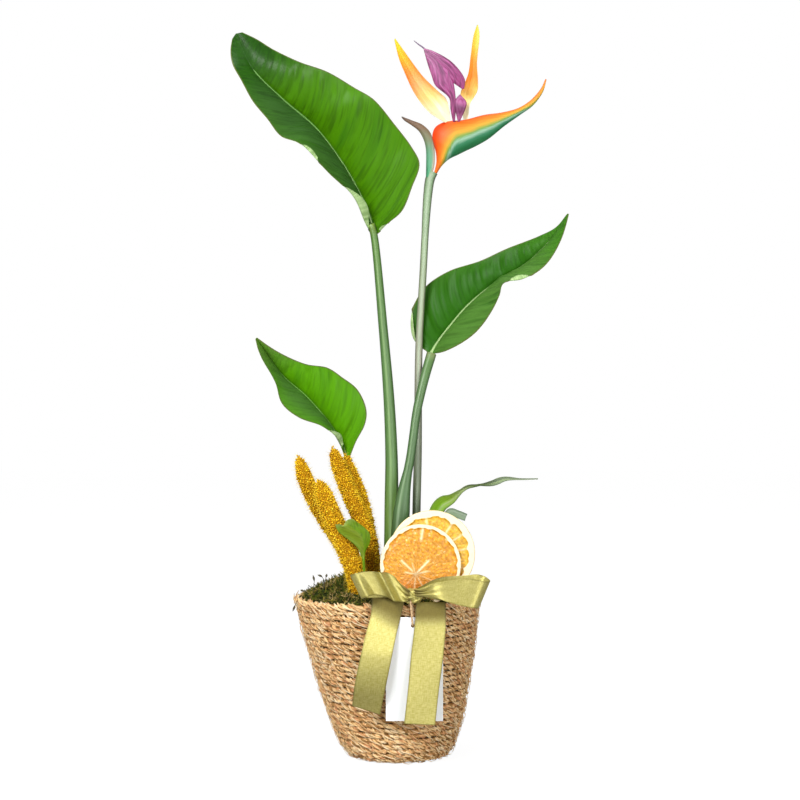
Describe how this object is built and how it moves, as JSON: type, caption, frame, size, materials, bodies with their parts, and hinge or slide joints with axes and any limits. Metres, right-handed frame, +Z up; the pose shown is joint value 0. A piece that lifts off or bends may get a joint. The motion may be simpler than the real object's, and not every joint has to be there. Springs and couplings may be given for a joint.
{
  "type": "potted bird of paradise in a seagrass basket",
  "caption": "Bird of paradise flower and broad leaves standing in moss in a tapered seagrass basket, trimmed with foxtail millet, dried orange slices, a satin ribbon bow and a blank gift tag.",
  "frame": {"origin": "centre of the basket's flat base, on the surface that it stands on", "axes": "+Z up; +X to the right of the bow as seen from the front; -Y out of the front, where the bow and the tag hang"},
  "size_m": [0.2646, 0.1693, 0.5856],
  "materials": {
    "seagrass_rope": "matte",
    "liner_plastic": "matte",
    "soil": "matte",
    "moss": "matte",
    "petiole": "satin",
    "leaf_blade": "gloss",
    "spathe": "satin",
    "bract": "satin",
    "sepal": "satin",
    "violet_petal": "satin",
    "millet": "matte",
    "cut_leaf": "satin",
    "grass": "satin",
    "dried_orange": "satin",
    "satin_ribbon": "satin",
    "twine": "matte",
    "tag_card": "matte"
  },
  "bodies": {
    "root": {"basket": "seagrass_rope", "plastic_liner": "liner_plastic", "potting_soil": "soil", "moss_mound": "moss", "petiole_tall": "petiole", "leaf_tall": "leaf_blade", "petiole_mid": "petiole", "leaf_mid": "leaf_blade", "petiole_small": "petiole", "leaf_small": "leaf_blade", "flower_stem": "petiole", "spathe": "spathe", "bract": "bract", "sepal_left": "sepal", "sepal_right": "sepal", "petal_arrow": "violet_petal", "petal_small": "violet_petal", "stigma": "violet_petal", "millet_spike_1": "millet", "millet_spike_2": "millet", "millet_spike_3": "millet", "millet_spike_4": "millet", "cut_leaf": "cut_leaf", "grass_blade": "grass", "grass_end": "grass", "orange_slice_front": "dried_orange", "orange_slice_back": "dried_orange", "ribbon_knot": "satin_ribbon", "ribbon_loop_left": "satin_ribbon", "ribbon_loop_right": "satin_ribbon", "ribbon_tail_left": "satin_ribbon", "ribbon_tail_right": "satin_ribbon", "tag_twine": "twine", "gift_tag": "tag_card"}
  },
  "joints": []
}
